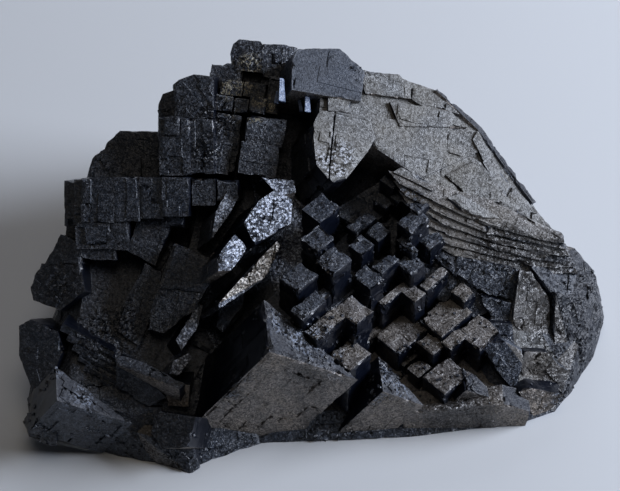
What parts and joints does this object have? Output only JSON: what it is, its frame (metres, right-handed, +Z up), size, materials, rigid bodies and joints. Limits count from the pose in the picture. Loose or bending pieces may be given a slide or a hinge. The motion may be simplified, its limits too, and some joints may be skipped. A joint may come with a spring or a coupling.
{
  "type": "fluorite specimen",
  "caption": "Black fluorite crystal mass: intergrown stepped cubes, slabs and blades leaning back from a thin front rim to a tall crown, lying on a flat broken base.",
  "frame": {"origin": "centre of the bounding box in plan, at the base it lies on", "axes": "+X to the right along the longest side, +Y towards the tall crown at the back, +Z up"},
  "size_m": [0.119, 0.0812, 0.0486],
  "materials": {
    "fluorite": "black, satin crystal faces with dull broken edges"
  },
  "bodies": {
    "root": {"fluorite_cluster": "fluorite"}
  },
  "joints": []
}
